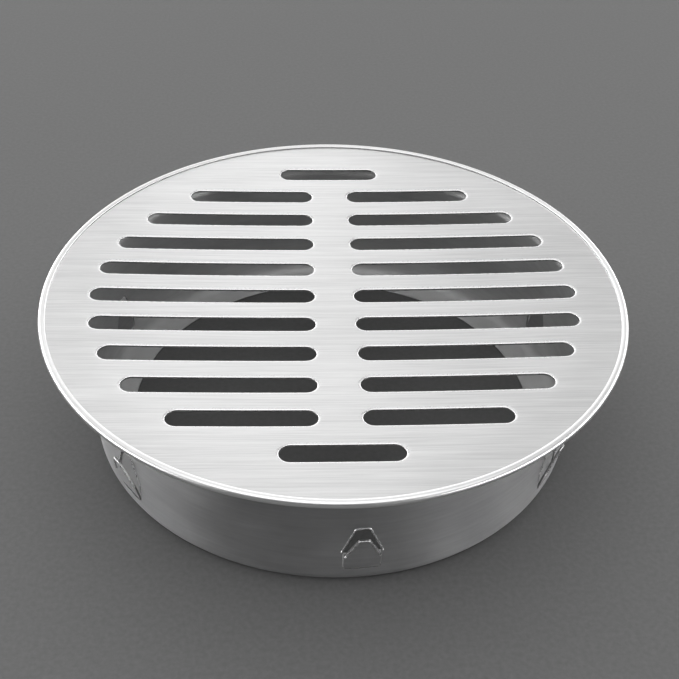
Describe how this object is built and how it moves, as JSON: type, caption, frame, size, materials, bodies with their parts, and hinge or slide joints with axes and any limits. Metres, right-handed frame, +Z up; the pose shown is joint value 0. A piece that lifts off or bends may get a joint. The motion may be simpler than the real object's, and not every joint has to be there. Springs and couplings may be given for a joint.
{
  "type": "floor drain grate",
  "caption": "Round stainless floor drain grate with a slotted brushed cover plate in a polished rim, on a pressed collar whose wall has lanced spring tabs that grip the drain pipe.",
  "frame": {"origin": "centre of the circle at the height of the bottom lip's underside, where the part stands on a table", "axes": "+Z up through the cover plate, -Y towards the viewer's side of the picture, +X to the right along the slots"},
  "size_m": [0.176, 0.176, 0.0464],
  "materials": {
    "brushed_plate": "straight brushed grain along X",
    "polished_steel": "bright polished stainless steel",
    "tab_steel": "bright sheet with bare sheared edges"
  },
  "bodies": {
    "grate": {"grate_plate": "brushed_plate", "rim_flange": "polished_steel", "collar_wall": "polished_steel", "bottom_lip": "polished_steel"},
    "tab_1": {"spring_tab_1": "tab_steel"},
    "tab_2": {"spring_tab_2": "tab_steel"},
    "tab_3": {"spring_tab_3": "tab_steel"},
    "tab_4": {"spring_tab_4": "tab_steel"},
    "tab_5": {"spring_tab_5": "tab_steel"},
    "tab_6": {"spring_tab_6": "tab_steel"}
  },
  "joints": [
    {"name": "spring_tab_1_flex", "type": "hinge", "parent": "grate", "child": "tab_1", "pos_m": [0.00574, -0.07463, 0.0067], "axis": [-0.9971, -0.0767, 0], "range_deg": [0, 12.5], "stiffness_Nm_per_rad": 0.8},
    {"name": "spring_tab_2_flex", "type": "hinge", "parent": "grate", "child": "tab_2", "pos_m": [0.06205, -0.04186, 0.0067], "axis": [-0.5592, -0.829, 0], "range_deg": [0, 12.5], "stiffness_Nm_per_rad": 0.8},
    {"name": "spring_tab_3_flex", "type": "hinge", "parent": "grate", "child": "tab_3", "pos_m": [0.07034, 0.0256, 0.0067], "axis": [0.342, -0.9397, 0], "range_deg": [0, 12.5], "stiffness_Nm_per_rad": 0.8},
    {"name": "spring_tab_4_flex", "type": "hinge", "parent": "grate", "child": "tab_4", "pos_m": [0.00392, 0.07475, 0.0067], "axis": [0.9986, -0.0523, 0], "range_deg": [0, 12.5], "stiffness_Nm_per_rad": 0.8},
    {"name": "spring_tab_5_flex", "type": "hinge", "parent": "grate", "child": "tab_5", "pos_m": [-0.0694, 0.02804, 0.0067], "axis": [0.3746, 0.9272, 0], "range_deg": [0, 12.5], "stiffness_Nm_per_rad": 0.8},
    {"name": "spring_tab_6_flex", "type": "hinge", "parent": "grate", "child": "tab_6", "pos_m": [-0.05993, -0.04484, 0.0067], "axis": [-0.599, 0.8007, 0], "range_deg": [0, 12.5], "stiffness_Nm_per_rad": 0.8}
  ]
}
